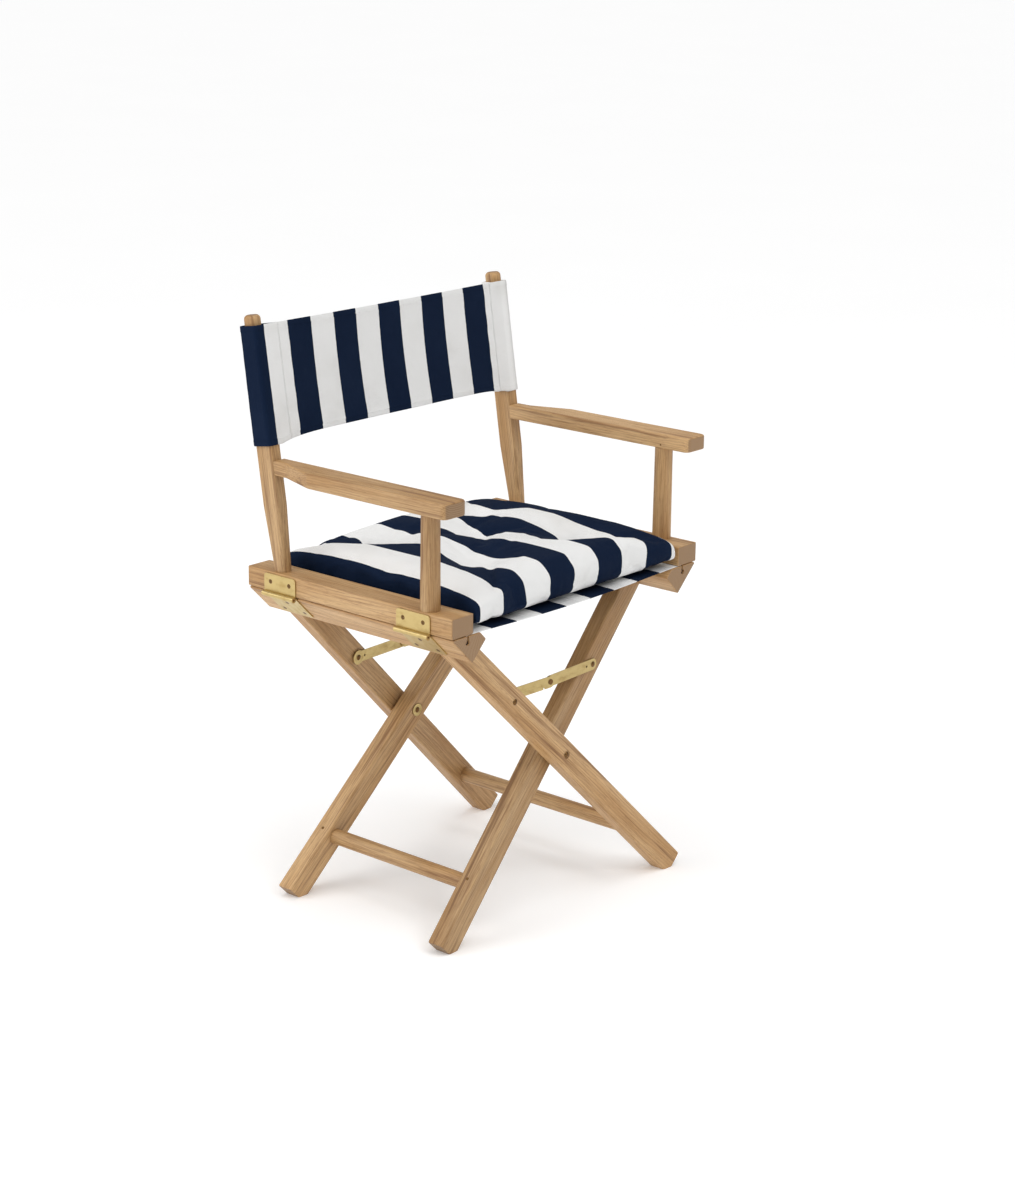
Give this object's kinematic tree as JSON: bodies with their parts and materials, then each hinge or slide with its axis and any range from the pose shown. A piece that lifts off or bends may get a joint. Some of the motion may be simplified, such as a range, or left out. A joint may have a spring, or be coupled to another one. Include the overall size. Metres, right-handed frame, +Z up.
{
  "type": "folding chair",
  "caption": "Director's style folding armchair: crossed wooden legs, hinged arm frames, brass stays, striped canvas sling seat, tufted cushion and canvas back.",
  "frame": {"origin": "centre of the footprint box on the floor, chair open", "axes": "+Z up; the sitter faces -Y; +X is the sitter's left; the pivots' axis is parallel to Y"},
  "size_m": [0.576, 0.4085, 0.8694],
  "materials": {
    "teak": "satin",
    "dowel": "satin",
    "brass": "satin",
    "striped_canvas": "matte",
    "cushion_cover": "matte"
  },
  "bodies": {
    "cross_pivots": {"front_cross_bolt": "brass", "front_cross_spacer": "brass", "front_cross_washer": "brass", "rear_cross_bolt": "brass", "rear_cross_spacer": "brass", "rear_cross_washer": "brass", "seat_sling": "striped_canvas"},
    "outer_frame": {"outer_front_leg": "teak", "outer_rear_leg": "teak", "outer_stay_rivets": "brass", "outer_stay_washers": "brass", "outer_stretcher": "teak", "outer_stretcher_nails": "brass", "right_front_hinge_lower_leaf": "brass", "right_lower_leaf_screws": "brass", "right_lower_rail": "teak", "right_rear_hinge_lower_leaf": "brass", "right_sling_rod": "dowel"},
    "inner_frame": {"inner_front_leg": "teak", "inner_rear_leg": "teak", "inner_stay_rivets": "brass", "inner_stretcher": "teak", "inner_stretcher_nails": "brass", "left_front_hinge_lower_leaf": "brass", "left_lower_leaf_screws": "brass", "left_lower_rail": "teak", "left_rear_hinge_lower_leaf": "brass", "left_sling_rod": "dowel"},
    "right_side": {"backrest_canvas": "striped_canvas", "right_armrest": "teak", "right_armrest_pin": "brass", "right_front_hinge_pin": "brass", "right_front_hinge_upper_leaf": "brass", "right_front_post": "teak", "right_rear_hinge_pin": "brass", "right_rear_hinge_upper_leaf": "brass", "right_rear_post": "teak", "right_upper_leaf_screws": "brass", "right_upper_rail": "teak"},
    "left_side": {"left_armrest": "teak", "left_armrest_pin": "brass", "left_front_hinge_pin": "brass", "left_front_hinge_upper_leaf": "brass", "left_front_post": "teak", "left_rear_hinge_pin": "brass", "left_rear_hinge_upper_leaf": "brass", "left_rear_post": "teak", "left_upper_leaf_screws": "brass", "left_upper_rail": "teak"},
    "front_stay_outer": {"front_stay_outer_half": "brass", "front_stay_outer_knuckle_rivet": "brass"},
    "front_stay_inner": {"front_stay_inner_half": "brass", "front_stay_inner_knuckle_rivet": "brass"},
    "rear_stay_outer": {"rear_stay_outer_half": "brass", "rear_stay_outer_knuckle_rivet": "brass"},
    "rear_stay_inner": {"rear_stay_inner_half": "brass", "rear_stay_inner_knuckle_rivet": "brass"},
    "cushion": {"seat_cushion": "cushion_cover"}
  },
  "joints": [
    {"name": "fold", "type": "hinge", "parent": "cross_pivots", "child": "outer_frame", "pos_m": [0, -0.0074, 0.239], "axis": [0, 1, 0], "range_deg": [0, 40], "deforming": ["seat_sling", "backrest_canvas", "seat_cushion"]},
    {"name": "inner_fold", "type": "hinge", "parent": "cross_pivots", "child": "inner_frame", "pos_m": [0, -0.0074, 0.239], "axis": [0, -1, 0], "range_deg": [0, 40]},
    {"name": "right_arm_fold", "type": "hinge", "parent": "outer_frame", "child": "right_side", "pos_m": [-0.2756, -0.0074, 0.4749], "axis": [0, -1, 0], "range_deg": [0, 40]},
    {"name": "left_arm_fold", "type": "hinge", "parent": "inner_frame", "child": "left_side", "pos_m": [0.2756, -0.0074, 0.4749], "axis": [0, 1, 0], "range_deg": [0, 40]},
    {"name": "front_stay_outer_fold", "type": "hinge", "parent": "outer_frame", "child": "front_stay_outer", "pos_m": [-0.10528, -0.14875, 0.34245], "axis": [-0.0417, -0.9983, 0.041], "range_deg": [0, 123]},
    {"name": "front_stay_inner_fold", "type": "hinge", "parent": "inner_frame", "child": "front_stay_inner", "pos_m": [0.10528, -0.14275, 0.34245], "axis": [-0.0417, 0.9983, -0.041], "range_deg": [0, 123]},
    {"name": "rear_stay_outer_fold", "type": "hinge", "parent": "outer_frame", "child": "rear_stay_outer", "pos_m": [-0.10528, 0.13395, 0.34245], "axis": [0.0417, -0.9983, -0.041], "range_deg": [0, 123]},
    {"name": "rear_stay_inner_fold", "type": "hinge", "parent": "inner_frame", "child": "rear_stay_inner", "pos_m": [0.10528, 0.12795, 0.34245], "axis": [0.0417, 0.9983, 0.041], "range_deg": [0, 123]},
    {"name": "cushion_lift", "type": "slide", "parent": "right_side", "child": "cushion", "axis": [0, -0.9063, 0.4226], "range_m": [0, 0.45]}
  ],
  "couplings": [
    {"joint": "inner_fold", "follows": "fold", "ratio": 1},
    {"joint": "right_arm_fold", "follows": "fold", "ratio": 1},
    {"joint": "left_arm_fold", "follows": "fold", "ratio": 1},
    {"joint": "front_stay_outer_fold", "follows": "fold", "ratio": 3.0586},
    {"joint": "front_stay_inner_fold", "follows": "fold", "ratio": 3.0586},
    {"joint": "rear_stay_outer_fold", "follows": "fold", "ratio": 3.0586},
    {"joint": "rear_stay_inner_fold", "follows": "fold", "ratio": 3.0586}
  ]
}
